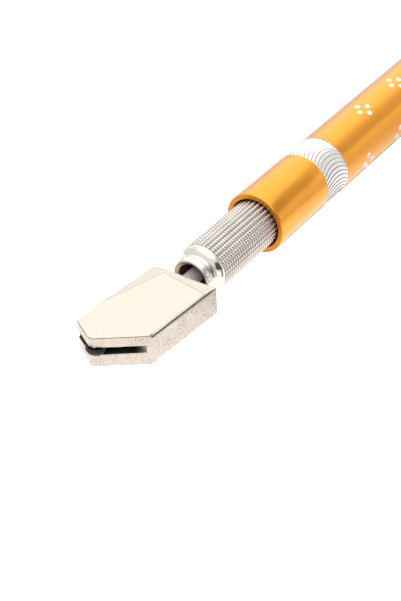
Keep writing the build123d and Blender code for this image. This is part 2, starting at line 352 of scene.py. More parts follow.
def cast_nickel(name, pitting, mottling):
    """The head's cast skin, plated: sandy, mottled, and with scattered dark pits."""
    tree = Finish(name)
    sand = tree.noise(3600.0, 6.0)
    lumps = tree.noise(1500.0, 5.0)
    holes = tree.ranged(tree.noise(4300.0, 5.0), 0.56, 0.65, kind="SMOOTHSTEP")
    patches = tree.ranged(tree.noise(300.0, 3.0), 0.42, 0.6, kind="SMOOTHSTEP")
    pits = tree.product(holes, patches, pitting)
    plate = tree.mixed(tree.product(tree.ranged(lumps, 0.4, 0.7), mottling), NICKEL_SIDE, NICKEL_SHADE)
    sandy = tree.mixed(tree.product(tree.ranged(sand, 0.5, 0.7), mottling, 0.5), plate, NICKEL_DARK)
    height = tree.maths("SUBTRACT", tree.maths("ADD", sand, lumps), pits)
    return tree.finish(
        Base_Color=tree.mixed(pits, sandy, NICKEL_PIT),
        Metallic=1.0,
        Roughness=tree.ranged(sand, 0.3, 0.7, 0.34, 0.5),
        Normal=tree.bumped(height, 0.5, 0.00008),
    )


def saw_cut():
    """The wheel slot: bright where the saw ran out at the right, then painted shade, near black, further
    along.
    """
    tree = Finish("saw_cut")
    start, end = head_place(*RIGHT_CORNER), head_place(*NOSE_RIGHT)
    along = (end - start).normalized()
    dot = tree.add("ShaderNodeVectorMath", {0: tree.place, 1: along}, operation="DOT_PRODUCT")
    grain = tree.noise(2600.0, 4.0)
    run = tree.maths("SUBTRACT", dot.outputs["Value"], along.dot(start))
    ragged = tree.maths("ADD", run, tree.ranged(grain, 0.3, 0.7, -0.2 * MM, 0.2 * MM))
    # Painted shade: the colour goes from plated nickel to near black along the slot.
    shade = tree.ranged(ragged, SAW_FADE[0] * MM, SAW_FADE[1] * MM, kind="SMOOTHSTEP")
    return tree.finish(
        Base_Color=tree.mixed(shade, NICKEL_SHADE, SLOT_SHADE_BLACK),
        Metallic=tree.ranged(shade, 0.0, 1.0, 1.0, 0.2),
        Roughness=0.5,
        Normal=tree.bumped(grain, 0.4, 0.00005),
    )


def dull(name, colour, shade, roughness, grain, depth, metallic=0.0):
    """A plain finish with its own grain, for rubber, cotton, carbide and dark steel."""
    tree = Finish(name)
    fine = tree.noise(grain, 5.0)
    return tree.finish(
        Base_Color=tree.mixed(tree.ranged(fine, 0.3, 0.7), colour, shade),
        Metallic=metallic,
        Roughness=tree.ranged(fine, 0.3, 0.7, roughness * 0.8, roughness * 1.2),
        Normal=tree.bumped(fine, 0.3, depth),
    )


gold = anodised("gold_anodised", (0.93, 0.375, 0.026, 1), (0.90, 0.355, 0.022, 1), 0.18)
# Painted shade: a darker copy of the gold for the front rim's end face and bevels.
gold_edge = anodised("rim_gold_painted_shade", (0.62, 0.23, 0.012, 1), (0.54, 0.19, 0.01, 1), 0.4)
silver = bright_cut()
# cut_shade and the darkest step are painted shade on the steep wall of each crescent scoop; the darkest
# step also stands for the cut's burr line.
cut_shade = turned_metal("cut_shade", (0.66, 0.60, 0.56, 1), (0.58, 0.52, 0.48, 1), 0.35, 0.05)
painted_shade_cut = turned_metal("painted_shade_cut", (0.18, 0.14, 0.12, 1), (0.12, 0.09, 0.08, 1), 0.4, 0.05)
nickel = turned_metal("polished_nickel", (0.80, 0.76, 0.71, 1), (0.76, 0.71, 0.65, 1), 0.1, 0.05)
knurl_crest = turned_metal("knurl_crest", (0.86, 0.81, 0.75, 1), (0.79, 0.73, 0.66, 1), 0.26, 0.05)
# Painted shade: a darker copy of the crest nickel for the knurl's valleys.
knurl_painted_shade = turned_metal("knurl_painted_shade", (0.50, 0.45, 0.41, 1), (0.42, 0.37, 0.33, 1), 0.35, 0.05)
# Painted shade: brown, darkened metal inside the collar's mouth.
mouth_shade_finish = turned_metal("mouth_painted_shade", (0.46, 0.36, 0.28, 1), (0.26, 0.19, 0.14, 1), 0.35, 0.3)
# Painted shade: near black inside the collar's bore.
bore_black = dull("bore_painted_shade", (0.02, 0.017, 0.015, 1), (0.035, 0.03, 0.026, 1), 0.6, 4000.0, 0.00002)
cast = cast_nickel("nickel_casting", 1.0, 1.0)
skin = cast_nickel("nickel_skin", 0.0, 0.15)
ground = ground_nickel()
# Painted shade: dark metal on the head's right top chamfer near the rear, and on the front top and bottom
# bevels.
edge_painted_shade = dull("edge_painted_shade", (0.20, 0.155, 0.12, 1), (0.10, 0.077, 0.06, 1), 0.45, 3000.0, 0.00004, 1.0)
# Painted shade in the grooves where the ground flat ends.
flat_line = dull("flat_line", (0.58, 0.51, 0.44, 1), (0.44, 0.37, 0.31, 1), 0.45, 3000.0, 0.00003, 1.0)
matte_steel = dull("matte_steel", (0.80, 0.77, 0.73, 1), (0.55, 0.52, 0.49, 1), 0.45, 2500.0, 0.00003, 0.35)
brass = turned_metal("turned_brass", (0.80, 0.60, 0.26, 1), (0.70, 0.50, 0.20, 1), 0.22, 0.25)
bronze = turned_metal("turned_bronze", (0.62, 0.40, 0.20, 1), (0.50, 0.32, 0.16, 1), 0.3, 0.25)
steel = turned_metal("ground_steel", (0.62, 0.61, 0.60, 1), (0.45, 0.44, 0.43, 1), 0.36, 0.2)
carbide = dull("carbide", (0.055, 0.057, 0.06, 1), (0.04, 0.041, 0.044, 1), 0.32, 9000.0, 0.00001, 0.9)
rubber = dull("rubber", (0.02, 0.02, 0.02, 1), (0.035, 0.034, 0.033, 1), 0.55, 3500.0, 0.00002)
cotton = dull("oiled_cotton", (0.62, 0.52, 0.34, 1), (0.45, 0.36, 0.20, 1), 0.8, 4500.0, 0.0001)


# ---------------------------------------------------------------- handle tube

DIMPLE_RADIUS = 0.6
DIMPLE_DEPTH = 0.15
DIMPLE_LIP = 0.015
DIMPLE_RINGS = (1.0, 0.97, 0.7, 0.35)
DIMPLE_SPREAD = 1.5
DIMPLE_ANGLE = 13.0
DIMPLE_PITCH = 13.3
FIRST_DIMPLES = 33.0
ROW_ANGLE = 11.0
CELL_STEPS = 6
CRESCENTS = 44
CRESCENT_STEPS = 8
BAND_STEPS = 22
BAND_DEPTH = 0.35
BAND_CROWN = 0.1
CRESCENT_RADIUS = 5.72
BAND_REAR_FALL = 0.05
SCOOP_DEPTH = 0.09
SCOOP_RISE = 6
SCOOP_CURVE = 1.5
SCOOP_FADE, SCOOP_LEAST = 6.0, 0.25
# The last two steps of each crescent take painted shade.
WALL_SHADE_DARK, SHADE_SLOT = 3, 4
CRESCENT_TONES = (1, 1, 1, 1, 1, 1, WALL_SHADE_DARK, SHADE_SLOT)
RIM_ROUND = 0.25
RIM_SLOT = 2
BORE_BEVEL = 0.15
BAND_SHOULDER = 0.4
BAND_GAP = 0.06
BAND_STEP = 0.02


def cell_lines():
    """Angles of the lines between cells round the handle: three dimple cells, four plain."""
    lines = []
    plain = (90.0 - 3 * DIMPLE_ANGLE) / 4
    for row in range(4):
        start = ROW_ANGLE + 90.0 * row - 1.5 * DIMPLE_ANGLE
        lines += [start + DIMPLE_ANGLE * i for i in range(3)]
        lines += [start + 3 * DIMPLE_ANGLE + plain * i for i in range(4)]
    return [*lines, lines[0] + TURN]


CELL_LINES = cell_lines()
CELL_COUNT = len(CELL_LINES) - 1
HANDLE_ANGLES = [
    blend_between(CELL_LINES[c], CELL_LINES[c + 1], k / CELL_STEPS)
    for c in range(CELL_COUNT)
    for k in range(CELL_STEPS)
]


def diamond_band(shell, span):
    """Rings of a diamond-cut band: overlapping crescents that a round cutter scooped out."""
    start, end = span
    half = (end - start) / 2
    middle = (start + end) / 2
    floor = HANDLE_RADIUS - BAND_DEPTH
    crown = HANDLE_RADIUS - BAND_CROWN
    chord = math.sqrt(CRESCENT_RADIUS**2 - half**2)
    rings = []
    for t in range(BAND_STEPS + 1):
        station = blend_between(start + RIM_ROUND, end, t / BAND_STEPS)
        across = (station - middle) / half
        base = crown - (crown - floor) * across * across
        if across > 0:
            base = crown - BAND_REAR_FALL * across * across
        bow = math.sqrt(CRESCENT_RADIUS**2 - (across * half) ** 2) - chord
        lean = math.degrees(bow / HANDLE_RADIUS)
        fade = min(1.0, SCOOP_FADE * (1.0 - abs(across)) + SCOOP_LEAST)
        points = []
        for k in range(CRESCENTS * CRESCENT_STEPS):
            step = k % CRESCENT_STEPS
            share = step / SCOOP_RISE if step <= SCOOP_RISE else 1 - (step - SCOOP_RISE) / 2
            scoop = SCOOP_DEPTH * fade * share**SCOOP_CURVE
            angle = TURN * k / (CRESCENTS * CRESCENT_STEPS) - lean
            points.append((station, base - scoop, angle))
        rings.append(shell.ring(points))
    shell.skin(rings, list(CRESCENT_TONES) * CRESCENTS)
    return rings[0], rings[-1]


def is_dimple(column, kind, cell):
    """Whether a cell holds a dimple: column 0 to 2 of a block, kind by row parity."""
    row, across = divmod(cell, CELL_COUNT // 4)
    if column > 2 or across > 2 or row % 2 != kind:
        return False
    return (column == 1) != (across == 1)


def dimple(shell, border, station, angle):
    """A bright round bowl inside a cell, joined to the cell's border points."""
    ball = (DIMPLE_RADIUS**2 + DIMPLE_DEPTH**2) / (2 * DIMPLE_DEPTH)
    centre = place(station, HANDLE_RADIUS, angle)
    around = []
    for vert in border:
        offset = vert.co - centre
        along = offset.x
        round_the_tube = offset.dot(place(0, 1, angle + 90) - place(0, 0, 0)) / MM
        around.append(math.atan2(round_the_tube, along))
    outer = border
    for share in DIMPLE_RINGS:
        depth = math.sqrt(ball**2 - (DIMPLE_RADIUS * share) ** 2) - (ball - DIMPLE_DEPTH)
        depth = 0.0 if share == 1.0 else depth + DIMPLE_LIP
        inner = []
        for turn in around:
            s = station + DIMPLE_RADIUS * share * math.cos(turn)
            a = angle + math.degrees(DIMPLE_RADIUS * share * math.sin(turn) / HANDLE_RADIUS)
            inner.append(shell.mesh.verts.new(place(s, HANDLE_RADIUS - depth, a)))
        shell.bridge(outer, inner, 0 if share == 1.0 else 1)
        outer = inner
    shell.face(outer, 1)


def handle_body(shell, start, end):
    """The handle between its bands: a grid of cells, some of them holding dimples."""
    blocks = []
    station = FIRST_DIMPLES
    kind = 0
    while station < end - DIMPLE_SPREAD - 1:
        blocks.append((station, kind))
        station += DIMPLE_PITCH / 2
        kind = 1 - kind
    columns = []
    at = start
    for centre, kind in blocks:
        first = centre - 1.5 * DIMPLE_SPREAD
        columns.append((at, first, 3, kind))
        columns += [
            (first + DIMPLE_SPREAD * i, first + DIMPLE_SPREAD * (i + 1), i, kind) for i in range(3)
        ]
        at = first + 3 * DIMPLE_SPREAD
    columns.append((at, end, 3, 0))
    rings = [shell.circle(start, HANDLE_RADIUS, HANDLE_ANGLES)]
    for first, last, column, kind in columns:
        steps = CELL_STEPS if column < 3 else 2
        band = [rings[-1]]
        for k in range(1, steps + 1):
            here = blend_between(first, last, k / steps)
            if k == steps:
                band.append(shell.circle(here, HANDLE_RADIUS, HANDLE_ANGLES))
                continue
            ring = []
            for i, angle in enumerate(HANDLE_ANGLES):
                cell, inside = divmod(i, CELL_STEPS)
                buried = inside and is_dimple(column, kind, cell)
                ring.append(None if buried else shell.mesh.verts.new(place(here, HANDLE_RADIUS, angle)))
            band.append(ring)
        for cell in range(CELL_COUNT):
            low = cell * CELL_STEPS
            spots = [(low + i) % len(HANDLE_ANGLES) for i in range(CELL_STEPS + 1)]
            if is_dimple(column, kind, cell):
                border = [band[0][i] for i in spots]
                border += [band[k][spots[-1]] for k in range(1, steps)]
                border += [band[steps][i] for i in reversed(spots)]
                border += [band[k][spots[0]] for k in range(steps - 1, 0, -1)]
                middle = (CELL_LINES[cell] + CELL_LINES[cell + 1]) / 2
                dimple(shell, border, (first + last) / 2, middle)
                continue
            for k in range(steps):
                for i, j in zip(spots, spots[1:]):
                    shell.face((band[k][i], band[k][j], band[k + 1][j], band[k + 1][i]))
        rings.append(band[-1])
    return rings[0], rings[-1]


def handle_tube():
    """One closed tube: rims, plain ends, two diamond-cut bands and the dimpled body."""
    shell = Shell()
    front = [
        (BORE_BEVEL, BORE_RADIUS),
        (0.0, BORE_RADIUS + BORE_BEVEL),
        (0.0, HANDLE_RADIUS - RIM_ROUND - 0.3),
        *arc((RIM_ROUND, HANDLE_RADIUS - RIM_ROUND), RIM_ROUND, 180, 90, 5),
        (FRONT_BAND[0] * 0.3, HANDLE_RADIUS),
        (FRONT_BAND[0] * 0.7, HANDLE_RADIUS),
        *arc((FRONT_BAND[0] - BAND_SHOULDER, HANDLE_RADIUS - BAND_SHOULDER), BAND_SHOULDER, 90, 12, 5),
    ]
    rings = [shell.circle(s, r, HANDLE_ANGLES) for s, r in front]
    # The rim's faces take the darker gold: painted shade.
    shell.skin(rings[:5], RIM_SLOT)
    shell.skin(rings[4:])
    mouth = rings[0]
    band_start, band_end = diamond_band(shell, FRONT_BAND)
    shell.stitch(rings[-1], band_start, 1)
    edge = shell.circle(FRONT_BAND[1] + BAND_STEP, HANDLE_RADIUS - BAND_GAP, HANDLE_ANGLES)
    shell.stitch(band_end, edge, 1)
    body_start, body_end = handle_body(shell, FRONT_BAND[1] + BAND_GAP, REAR_BAND[0] - BAND_GAP)
    shell.bridge(edge, body_start)
    step = shell.circle(REAR_BAND[0], HANDLE_RADIUS - BAND_CROWN, HANDLE_ANGLES)
    shell.bridge(body_end, step)
    band_start, band_end = diamond_band(shell, REAR_BAND)
    shell.stitch(step, band_start, 1)
    tail = [
        (REAR_BAND[1] + BAND_STEP, HANDLE_RADIUS - BAND_GAP),
        (REAR_BAND[1] + BAND_GAP, HANDLE_RADIUS),
        *arc((HANDLE_END - RIM_ROUND, HANDLE_RADIUS - RIM_ROUND), RIM_ROUND, 90, 0, 5),
        (HANDLE_END, BORE_RADIUS + BORE_BEVEL),
        (HANDLE_END - BORE_BEVEL, BORE_RADIUS),
        (HANDLE_END / 2, BORE_RADIUS),
    ]
    rings = [shell.circle(s, r, HANDLE_ANGLES) for s, r in tail]
    shell.stitch(band_end, rings[0], 1)
    shell.skin(rings)
    shell.bridge(rings[-1], mouth)
    finishes = [gold, silver, gold_edge, painted_shade_cut, cut_shade]
    shell.piece("handle_tube_detail", "handle", finishes, ["handle_tube"])


# ---------------------------------------------------------------- knurled collar

KNURL_RIBS = 30
RIB_STEPS = 6
KNURL_RADIUS = 5.1
KNURL_SPAN = (-17.2, 1.5)
KNURL_ROWS = 26
ROW_STEPS = 4
RIB_DEPTH = 0.32
RING_DEPTH = 0.22
KNURL_CURVE = 1.3
# The knurl's valley slot takes painted shade.
MOUTH_SLOT, BORE_SLOT, CREST_SLOT, KNURL_SHADE_SLOT = 1, 2, 3, 4
WEB = (-16.2, -15.5)
WEB_HOLE_RADIUS = 1.7
BUSH_WALL = 0.6
CHAMBER_START = -8.0
THREAD_PITCH = 1.0
THREAD_FADE = 0.7


def lathe(shell, outline, angles, slot=0):
    """Rings through an outline of (station, radius) points, bridged in order."""
    rings = [shell.circle(s, r, angles) for s, r in outline]
    shell.skin(rings, slot)
    return rings


def thread(shell, start, end, crest, depth, angles, steps=10):
    """A helical V thread that fades out at both ends."""
    count = int((end - start) / THREAD_PITCH * steps)
    rings = []
    for k in range(count + 1):
        station = blend_between(start, end, k / count)
        ends = min(1.0, (station - start) / THREAD_FADE, (end - station) / THREAD_FADE)
        points = []
        for angle in angles:
            phase = (station / THREAD_PITCH - angle / TURN) % 1.0
            points.append((station, crest - depth * ends * (1 - abs(2 * phase - 1)), angle))
        rings.append(shell.ring(points))
    shell.skin(rings)
    return rings[0], rings[-1]


def knurl(shell, angles):
    """Square knurl: ribs along the collar, crossed by finer rings round it."""
    start, end = KNURL_SPAN
    rings = []
    for k in range(KNURL_ROWS * ROW_STEPS + 1):
        across = (k % ROW_STEPS) / ROW_STEPS
        ring_cut = RING_DEPTH * abs(2 * across - 1) ** KNURL_CURVE
        station = blend_between(start, end, k / (KNURL_ROWS * ROW_STEPS))
        points = []
        for i, angle in enumerate(angles):
            side = (i % RIB_STEPS) / RIB_STEPS
            rib_cut = RIB_DEPTH * abs(2 * side - 1) ** KNURL_CURVE
            points.append((station, KNURL_RADIUS - max(rib_cut, ring_cut), angle))
        rings.append(shell.ring(points))
    # Valley faces and each ring cut get the darker nickel: painted shade.
    across_ribs = [KNURL_SHADE_SLOT, *[CREST_SLOT] * (RIB_STEPS - 2), KNURL_SHADE_SLOT] * KNURL_RIBS
    for k, (first, second) in enumerate(zip(rings, rings[1:])):
        shell.bridge(first, second, across_ribs if k % ROW_STEPS else KNURL_SHADE_SLOT)
    return rings[0], rings[-1]


def knurled_collar():
    """Bore, mouth, lip, waist, shoulder, knurl, flange and thread, as one closed turning."""
    shell = Shell()
    front, end, _ = station_box("knurled_collar")
    chamber_radius = station_box("valve_seat")[2]
    bush_radius = chamber_radius - BUSH_WALL
    angles = even(KNURL_RIBS * RIB_STEPS)
    throat = [(WEB[0], bush_radius), (front + 1.2, bush_radius), (front + 0.4, 3.0)]
    # The bore takes painted shade.
    bore = lathe(shell, throat, angles, BORE_SLOT)
    mouth = lathe(shell, [(front + 0.06, 3.58)], angles)[0]
    # The mouth's faces take painted shade.
    shell.bridge(bore[-1], mouth, MOUTH_SLOT)
    nose = [
        (front, 3.62),
        (front, 3.8),
        *arc((front + 0.2, 3.8), 0.2, 180, 90, 4),
        (-20.5, 4.1),
        *arc((-20.42, 4.02), 0.1, 80, 0, 3),
        *arc((-19.72, 4.22), 0.52, 210, 300, 8),
        *arc((-17.5, 3.3), 1.72, 162, 90, 12),
    ]
    rings = lathe(shell, nose, angles)
    shell.bridge(mouth, rings[0], MOUTH_SLOT)
    knurl_start, knurl_end = knurl(shell, angles)
    shell.bridge(rings[-1], knurl_start)
    shoulder = lathe(shell, [(1.55, 4.9), (2.7, 4.9), (2.7, 4.45), (3.1, 4.2)], angles)
    shell.bridge(knurl_end, shoulder[0])
    thread_start, thread_end = thread(shell, 3.2, end - 0.3, 4.5, 0.5, angles)
    shell.bridge(shoulder[-1], thread_start)
    chamber = [
        (end, 4.2),
        (end, chamber_radius),
        (CHAMBER_START, chamber_radius),
        (CHAMBER_START, bush_radius),
        (WEB[1], bush_radius),
        (WEB[1], WEB_HOLE_RADIUS),
        (WEB[0], WEB_HOLE_RADIUS),
    ]
    hollow = lathe(shell, chamber, angles)
    shell.bridge(thread_end, hollow[0])
    shell.bridge(hollow[-1], bore[0], BORE_SLOT)
    finishes = [nickel, mouth_shade_finish, bore_black, knurl_crest, knurl_painted_shade]
    shell.piece("knurled_collar_detail", "collar", finishes, ["knurled_collar"])


# ---------------------------------------------------------------- return spring

SPRING_TURNS = 6
DEAD_TURNS = 1
TURN_STEPS = 28
WIRE_SIDES = 12
WIRE_RADIUS = 0.24
COIL_GAP = 0.02


def return_spring():
    """The valve's spring, with a closed turn at each end, built at one length; the real spring shortens as
    the valve lifts.
    """
    shell = Shell()
    start, end, outer = station_box("return_spring")
    coil_radius = outer - WIRE_RADIUS
    first, last = start + WIRE_RADIUS, end - WIRE_RADIUS
    dead = 2 * WIRE_RADIUS + COIL_GAP
    active = SPRING_TURNS - 2 * DEAD_TURNS
    pitch = (last - first - 2 * dead * DEAD_TURNS) / active

    def station(turns):
        slow = min(turns, DEAD_TURNS) + max(turns - SPRING_TURNS + DEAD_TURNS, 0)
        return first + dead * slow + pitch * (turns - slow)

    wire = [math.radians(angle) for angle in even(WIRE_SIDES)]
    section = [(WIRE_RADIUS * math.cos(turn), WIRE_RADIUS * math.sin(turn)) for turn in wire]
    rings = []
    for k in range(SPRING_TURNS * TURN_STEPS + 1):
        turns = k / TURN_STEPS
        rings.append(
            shell.ring([(station(turns) + s, coil_radius + r, TURN * turns) for s, r in section])
        )
    shell.skin(rings)
    shell.face(rings[0])
    shell.face(rings[-1])
    made = shell.piece("return_spring_coil", "collar", [steel], ["return_spring"])
    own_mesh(made)


# ---------------------------------------------------------------- filler cap

CAP_SIDES = 8
CAP_SIDE_STEPS = 24
CORNER_ROUND = 0.02
CAP_GAP = 0.08
CAP_DOME = 1.0
CAP_DOME_EDGE = 1.7
CAP_SHOULDER = 2.6
PLUG_NECK_RADIUS = 3.6


def filler_cap():
    """Threaded plug, and a domed head with eight flats whose corners are eased."""
    shell = Shell()
    start, end, across = station_box("oil_cap")
    face = HANDLE_END + CAP_GAP
    corner = across / math.cos(math.pi / CAP_SIDES)
    angles = even(CAP_SIDES * CAP_SIDE_STEPS, TURN / 2 / CAP_SIDES)

    def eight_sided(station, round_radius):
        """A ring that follows the flats, or a circle where that lies inside them."""
        points = []
        for angle in angles:
            off_flat = (angle + TURN / 2 / CAP_SIDES) % (TURN / CAP_SIDES) - TURN / 2 / CAP_SIDES
            flat = across / math.cos(math.radians(off_flat))
            blend = CORNER_ROUND * corner
            gap = max(blend - abs(flat - round_radius), 0.0) / blend
            points.append((station, min(flat, round_radius) - gap * gap * blend / 4, angle))
        return shell.ring(points)

    plug = lathe(shell, [(start, 1.0), (start, 3.5), (start + 0.3, PLUG_NECK_RADIUS)], angles)
    shell.face(plug[0])
    thread_start, thread_end = thread(shell, start + 0.3, face - 1.1, 4.0, 0.45, angles)
    shell.bridge(plug[-1], thread_start)
    neck = lathe(shell, [(face - 1.0, PLUG_NECK_RADIUS), (face, PLUG_NECK_RADIUS), (face, 6.1)], angles)
    shell.bridge(thread_end, neck[0])
    rounded = corner - 0.06
    dome_edge = HANDLE_RADIUS - CAP_DOME_EDGE
    dome_radius = (CAP_DOME**2 + dome_edge**2) / (2 * CAP_DOME)
    half_angle = math.degrees(math.asin(dome_edge / dome_radius))
    head = [
        (face, 6.25),
        (face + 0.25, 6.5),
        (face + 0.9, 6.92),
        (face + 1.1, rounded),
        *[(face + 1.1 + 0.7 * i, rounded) for i in range(1, 8)],
        *arc((end - 3.35, rounded - CAP_SHOULDER), CAP_SHOULDER, 84, 26, 12),
        *arc((end - dome_radius, 0), dome_radius, half_angle, 4, 8),
    ]
    last = neck[-1]
    for station, radius in head:
        ring = eight_sided(station, radius)
        shell.bridge(last, ring)
        last = ring
    shell.face(last)
    shell.piece("oil_cap_detail", "cap", [gold], ["oil_cap"])


# ---------------------------------------------------------------- head

HEAD_SHARP_ANGLE = 25.0
EDGE_ROUND = 0.09
SHORTEST_ROUNDED = 0.9
GRID = 0.42
WOBBLE = 0.03
LINE_HALF_WIDTH = 0.07
LINE_DEPTH = 0.05
LINE_OVERRUN = (0.05, 0.2)
FACE_BAND = 0.8
FLAT_TOLERANCE = 0.004
TOP_EDGE_BAND = 0.12
FRONT_FROM = -41.8
FLAT_CORNER = (-25.8, 2.8)
FLAT_ENDS = ((-27.5, -8.0), (-39.2, 7.1))
BACK_RIGHT = (-24.6, -8.1)
RIGHT_CORNER = (-42.3, -6.76)
NOSE_RIGHT = (-48.4, 1.8)
SLOT_HEIGHTS = (5.9, 7.55)
SAW_CENTRE = (-62.6, -2.5)
SAW_RADIUS = 20.0
SAW_FADE = (0.9, 3.4)
DARK_EDGE = 0.27
CAST, GROUND, SLOT, EDGE_SHADE, SKIN, LINE, BEVEL = range(7)


def head_place(station, y):
    """A point on the floor by its station, and its millimetres to the left of the tool axis."""
    return Vector((RIM_X + station * MM, y * MM, 0))


def slice_mesh(mesh, point, normal):
    """Cut every face along a plane, and keep both sides."""
    geometry = mesh.verts[:] + mesh.edges[:] + mesh.faces[:]
    bmesh.ops.bisect_plane(mesh, geom=geometry, plane_co=point, plane_no=normal)


def cut_grid(mesh, low, high):
    """Slice the mesh by evenly spaced planes, so that its flat faces can be roughened."""
    for axis in range(3):
        normal = Vector((axis == 0, axis == 1, axis == 2))
        count = int((high[axis] - low[axis]) / (GRID * MM))
        for k in range(1, count):
            slice_mesh(mesh, low + normal * ((high[axis] - low[axis]) * k / count), normal)


def flat_border(mesh, top):
    """Thin steps where the ground flat ends, as grooves across the top. Returns the test for them."""
    lines = []
    for end in FLAT_ENDS:
        first, last = head_place(*FLAT_CORNER), head_place(*end)
        along = (last - first).normalized()
        across = Vector((-along.y, along.x, 0))
        for offset in (-LINE_HALF_WIDTH, 0, LINE_HALF_WIDTH):
            slice_mesh(mesh, first + across * offset * MM, across)
        lines.append((first, along, across, (last - first).length))

    def distance(point):
        """How far a point on the top is from the nearer line, in mm."""
        best = math.inf
        for first, along, across, length in lines:
            offset = point - first
            if -LINE_OVERRUN[0] * MM < offset.dot(along) < length + LINE_OVERRUN[1] * MM:
                best = min(best, abs(offset.dot(across)) / MM)
        return best

    for vert in mesh.verts:
        if vert.co.z > top - 0.5 * MM and distance(vert.co) < 0.01:
            vert.co.z -= LINE_DEPTH * MM
    return distance


def in_slot(middle):
    """Whether a face's middle is on the walls of the saw cut."""
    station, y, z = (middle.x - RIM_X) / MM, middle.y / MM, middle.z / MM
    if not SLOT_HEIGHTS[0] < z < SLOT_HEIGHTS[1]:
        return False
    from_centre = math.hypot(station - SAW_CENTRE[0], y - SAW_CENTRE[1])
    return from_centre < SAW_RADIUS + 0.05


def reach_from(point, first, last):
    """How far a point is from the upright plane through two outline corners, in mm."""
    start, end = head_place(*first), head_place(*last)
    along = (end - start).normalized()
    offset = point - start
    return abs(offset.x * along.y - offset.y * along.x) / MM


def head_finish(face, low, high, near_line):
    """Which finish a face of the head has."""
    middle, normal = face.calc_center_median(), face.normal
    station = (middle.x - RIM_X) / MM
    level = min(high.z - middle.z, middle.z - low.z) / MM
    if in_slot(middle) and face.material_index != BEVEL:
        if abs(normal.z) > 0.5:
            return SLOT
        depth = reach_from(middle, RIGHT_CORNER, NOSE_RIGHT)
        on_outside = depth < 0.03 or normal.y < -0.3 or normal.y > 0.5
        return CAST if on_outside else SLOT
    # Faces in the flat's border grooves get painted shade.
    if abs(normal.z) > 0.7 and level < FACE_BAND and middle.z > AXIS_Z:
        if near_line(middle) < LINE_HALF_WIDTH:
            return LINE
    if abs(normal.z) > 0.97 and level < FACE_BAND:
        return GROUND if level < FLAT_TOLERANCE else SKIN
    # The right top chamfer near the rear edge gets painted shade.
    chamfer = 0.5 < abs(normal.z) < 0.9 and normal.y < -0.4 and middle.z > AXIS_Z
    if chamfer and face.material_index != BEVEL:
        reach = reach_from(middle, BACK_RIGHT, RIGHT_CORNER)
        return EDGE_SHADE if reach < DARK_EDGE else SKIN
    # Front bevels at the top and bottom get painted shade.
    front = station < FRONT_FROM and level < TOP_EDGE_BAND
    return EDGE_SHADE if front and face.material_index == BEVEL else CAST


def head_block():
    """The casting: its CAD shape with eased edges, ground faces and a cast skin."""
    low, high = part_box("head_block")
    mesh = bmesh.new()
    mesh.from_mesh(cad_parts["head_block"].data)
    bmesh.ops.remove_doubles(mesh, verts=mesh.verts, dist=1e-6)
    flat = math.radians(0.3)
    bmesh.ops.dissolve_limit(mesh, angle_limit=flat, verts=mesh.verts, edges=mesh.edges)
    edges = [
        edge
        for edge in mesh.edges
        if len(edge.link_faces) == 2
        and edge.calc_face_angle_signed() > math.radians(HEAD_SHARP_ANGLE)
        and edge.calc_length() > SHORTEST_ROUNDED * MM
    ]
    bmesh.ops.bevel(
        mesh, geom=edges, offset=EDGE_ROUND * MM, segments=2, profile=0.5,
        affect="EDGES", clamp_overlap=True, material=BEVEL,
    )
    bmesh.ops.triangulate(mesh, faces=mesh.faces)
    cut_grid(mesh, low, high)
    near_line = flat_border(mesh, high.z)
    back, corner = head_place(*BACK_RIGHT), head_place(*RIGHT_CORNER)
    inward = (back - corner).normalized().cross(Vector((0, 0, 1))) * (-1)
    slice_mesh(mesh, back + inward * DARK_EDGE * MM, inward)
    mesh.normal_update()
    for face in mesh.faces:
        face.material_index = head_finish(face, low, high, near_line)
    for vert in mesh.verts:
        if all(f.material_index == CAST for f in vert.link_faces):
            shift = noise.noise(vert.co * 900.0) + 0.5 * noise.noise(vert.co * 2300.0) - 0.7
            vert.co += vert.normal * shift * WOBBLE * MM
    finishes = [cast, ground, saw_cut(), edge_painted_shade, skin, flat_line]
    nodes = ["head_block"]
    to_piece(mesh, "head_casting", "head", finishes, nodes, HEAD_SHARP_ANGLE)


# ---------------------------------------------------------------- carried-over CAD nodes


def dress(material, *names):
    """Give CAD nodes their finished material."""
    for name in names:
        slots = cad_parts[name].data.materials
        slots.clear()
        slots.append(material)


def dress_all():
    dress(brass, "front_insert", "rear_insert", "valve_seat", "valve_plunger", "spring_retainer")
    dress(bronze, "stem_guide_bush")
    dress(steel, "stem_retaining_ring", "wheel_axle", "head_screw")
    dress(matte_steel, "head_stem")
    dress(carbide, "cutting_wheel")
    dress(rubber, "collar_o_ring", "stem_seal", "valve_seal", "cap_o_ring")
    dress(cotton, "oil_wick")


# ---------------------------------------------------------------- studio


# Azimuths are degrees from +X to +Y, heights are the Z of a direction, and ranges are metres
# along the floor.
SOFTBOX = 1.5
SOFTBOX_AZIMUTH = 22
CARD_SHADE = 0.42
CARD_AZIMUTH = -42
NEAR_SIDE = -104
NEAR_SHADE = 0.9
SHOWN_WHITE = (0.97, 0.97, 0.97, 1)
FLOOR_SPAN = 3.0
FLOOR_GLOW = 1.25
FAR_GLOW = 0.72
FLOOR_ALBEDO = 0.12
FLAG_AZIMUTH = -80
FLAG_SHADE = 0.9
FLAG_CENTRE = -20.0
FAR_RANGE = (0.03, 0.09)
FLAG_RANGE = (0.014, 0.019)
UNDER_SHADE = 0.7
UNDER_HALF_WIDTH = (0.004, 0.0064)


def toward(azimuth):
    """A level unit vector, by its angle from +X to +Y."""
    return Vector((math.cos(math.radians(azimuth)), math.sin(math.radians(azimuth)), 0))


